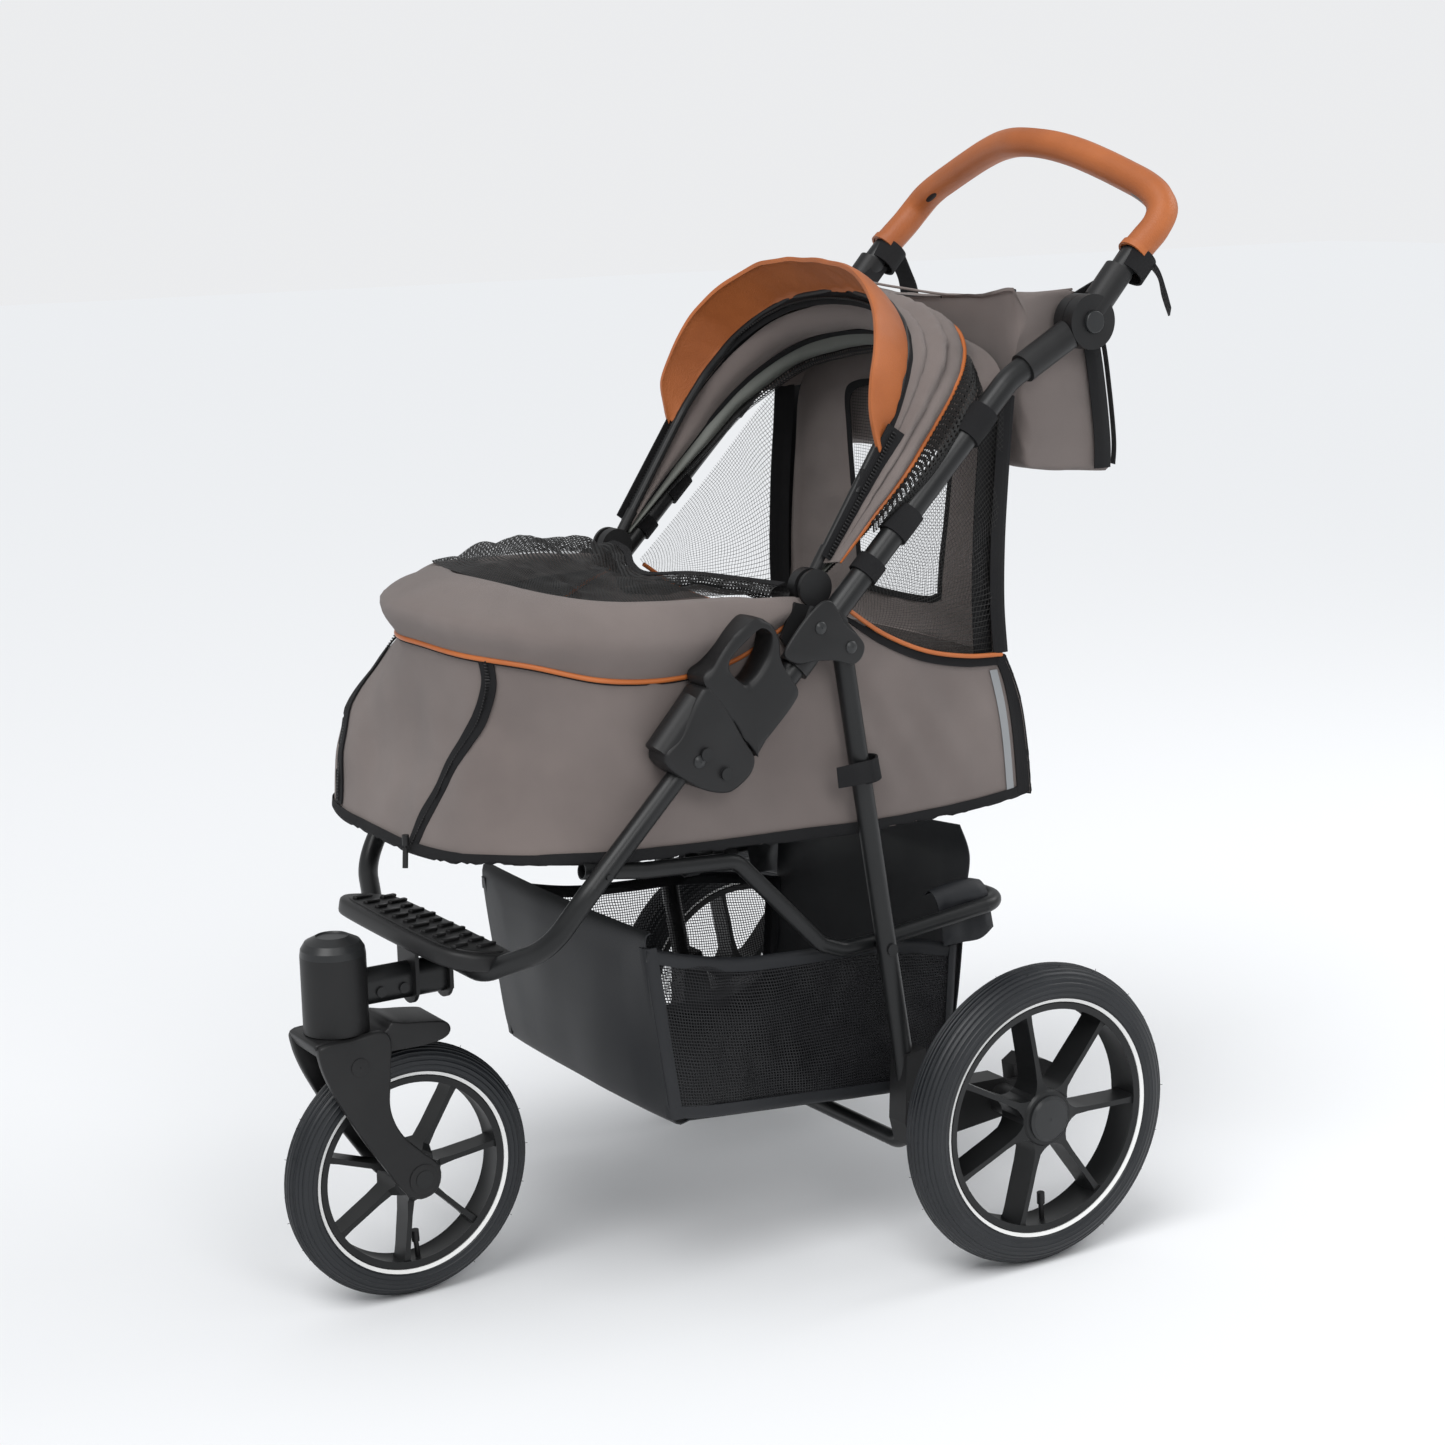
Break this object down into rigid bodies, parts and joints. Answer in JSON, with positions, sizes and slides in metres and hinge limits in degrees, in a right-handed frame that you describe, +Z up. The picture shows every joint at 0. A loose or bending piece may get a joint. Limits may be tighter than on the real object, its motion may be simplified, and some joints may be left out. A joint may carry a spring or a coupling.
{
  "type": "pet stroller",
  "caption": "Folding three-wheeled pet stroller with a padded cloth cabin, swinging canopy, tilting push handle, mesh windows, under-basket and a caster front wheel.",
  "frame": {"origin": "on the ground, midway between the two sides and midway between the front of the front tyre and the rear of the handle", "axes": "+X to the stroller's left side, +Y to its rear, +Z up"},
  "size_m": [0.616, 0.9151, 1.1096],
  "materials": {
    "frame_tube": "powder-coated matt black aluminium tube",
    "steel": "plain steel pins, rivets and bolts",
    "black_plastic": "fine-grained black moulded plastic",
    "tyre": "black air tyre with a white reflective ring",
    "rim": "black moulded seven-spoke rim",
    "leather": "tan leatherette, stitched",
    "taupe": "grey-brown woven polyester with black binding and orange piping",
    "black_fabric": "black open mesh and webbing",
    "board": "stiff floor board",
    "mat": "padded mat",
    "grey_plastic": "grey plastic trim"
  },
  "bodies": {
    "front_frame": {"front_frame_tube": "frame_tube", "footrest": "black_plastic", "neck_bracket": "frame_tube", "neck_tube": "frame_tube", "neck_screws": "steel", "swivel_housing": "black_plastic", "housing_cap": "black_plastic", "latch_base_left": "black_plastic", "latch_base_right": "black_plastic", "frame_rivets": "steel", "cabin_floor": "board", "cabin_mat": "mat", "cabin_tub": "taupe", "cabin_collar": "taupe", "mesh_cover": "black_fabric"},
    "upper_frame": {"upper_tube_left": "frame_tube", "upper_tube_right": "frame_tube", "hinge_base_left": "black_plastic", "hinge_base_right": "black_plastic", "hinge_pins": "steel", "leg_bracket_left": "black_plastic", "leg_bracket_right": "black_plastic", "pivot_pins": "steel", "cabin_back": "taupe", "canopy_hood": "taupe", "organiser_bag": "taupe", "bag_straps": "black_fabric"},
    "rear_frame": {"rear_leg_left": "frame_tube", "rear_leg_right": "frame_tube", "axle_carrier_left": "black_plastic", "axle_carrier_right": "black_plastic", "axle_beam": "frame_tube", "rear_axles": "steel", "link_rivets": "steel"},
    "basket_link": {"basket_tube": "frame_tube", "basket": "taupe"},
    "caster_fork": {"fork": "black_plastic", "front_axle_bolt": "steel"},
    "front_wheel": {"front_tyre": "tyre", "front_rim": "rim"},
    "rear_wheel_left": {"rear_left_tyre": "tyre", "rear_left_rim": "rim", "hub_cap_left": "grey_plastic"},
    "rear_wheel_right": {"rear_right_tyre": "tyre", "rear_right_rim": "rim", "hub_cap_right": "grey_plastic"},
    "latch_left": {"latch_slide_left": "black_plastic"},
    "latch_right": {"latch_slide_right": "black_plastic"},
    "handle": {"handle_tube": "frame_tube", "handle_grip": "leather", "hinge_shell_left": "black_plastic", "hinge_shell_right": "black_plastic"},
    "button_left": {"hinge_button_left": "grey_plastic"},
    "button_right": {"hinge_button_right": "grey_plastic"},
    "canopy": {"canopy_hubs": "black_plastic", "canopy_bow": "frame_tube", "canopy_visor": "leather"},
    "brake_left": {"brake_pedal_left": "black_plastic"},
    "brake_right": {"brake_pedal_right": "black_plastic"}
  },
  "joints": [
    {"name": "fold", "type": "hinge", "parent": "front_frame", "child": "upper_frame", "pos_m": [0, -0.0958, 0.53], "axis": [1, 0, 0], "range_deg": [-128, 0], "deforming": ["cabin_tub", "cabin_collar", "mesh_cover", "cabin_back", "canopy_hood", "organiser_bag", "basket", "bag_straps"]},
    {"name": "rear_leg_hinge", "type": "hinge", "parent": "upper_frame", "child": "rear_frame", "pos_m": [0, 0.0442, 0.633], "axis": [1, 0, 0], "range_deg": [-1, 82]},
    {"name": "basket_link_hinge", "type": "hinge", "parent": "front_frame", "child": "basket_link", "pos_m": [0, -0.2188, 0.44943], "axis": [1, 0, 0], "range_deg": [-86, 1]},
    {"name": "caster_swivel", "type": "hinge", "parent": "front_frame", "child": "caster_fork", "pos_m": [0, -0.3966, 0.3], "axis": [0, 0, 1], "continuous": true},
    {"name": "front_wheel_spin", "type": "hinge", "parent": "caster_fork", "child": "front_wheel", "pos_m": [0, -0.3301, 0.1275], "axis": [1, 0, 0], "continuous": true},
    {"name": "rear_left_spin", "type": "hinge", "parent": "rear_frame", "child": "rear_wheel_left", "pos_m": [0.283, 0.2222, 0.1525], "axis": [1, 0, 0], "continuous": true},
    {"name": "rear_right_spin", "type": "hinge", "parent": "rear_frame", "child": "rear_wheel_right", "pos_m": [-0.283, 0.2222, 0.1525], "axis": [1, 0, 0], "continuous": true},
    {"name": "latch_left_slide", "type": "slide", "parent": "upper_frame", "child": "latch_left", "axis": [0, 0.7071, 0.7071], "range_m": [0, 0.018], "stiffness_N_per_m": 250, "springref_m": -0.02},
    {"name": "latch_right_slide", "type": "slide", "parent": "upper_frame", "child": "latch_right", "axis": [0, 0.7071, 0.7071], "range_m": [0, 0.018], "stiffness_N_per_m": 250, "springref_m": -0.02},
    {"name": "handle_tilt", "type": "hinge", "parent": "upper_frame", "child": "handle", "pos_m": [0, 0.3372, 0.921], "axis": [1, 0, 0], "range_deg": [-35, 40], "deforming": ["organiser_bag", "bag_straps"]},
    {"name": "button_left_press", "type": "slide", "parent": "handle", "child": "button_left", "axis": [-1, 0, 0], "range_m": [0, 0.0035], "stiffness_N_per_m": 1200},
    {"name": "button_right_press", "type": "slide", "parent": "handle", "child": "button_right", "axis": [1, 0, 0], "range_m": [0, 0.0035], "stiffness_N_per_m": 1200},
    {"name": "canopy_swing", "type": "hinge", "parent": "upper_frame", "child": "canopy", "pos_m": [0, 0.0262, 0.687], "axis": [1, 0, 0], "range_deg": [0, 85], "deforming": ["canopy_hood", "cabin_collar", "mesh_cover"]},
    {"name": "brake_left_press", "type": "hinge", "parent": "rear_frame", "child": "brake_left", "pos_m": [0.212, 0.2542, 0.1585], "axis": [1, 0, 0], "range_deg": [-14, 0]},
    {"name": "brake_right_press", "type": "hinge", "parent": "rear_frame", "child": "brake_right", "pos_m": [-0.212, 0.2542, 0.1585], "axis": [1, 0, 0], "range_deg": [-14, 0]}
  ],
  "couplings": [
    {"joint": "rear_leg_hinge", "follows": "fold", "ratio": -0.619},
    {"joint": "basket_link_hinge", "follows": "fold", "ratio": 0.653}
  ]
}
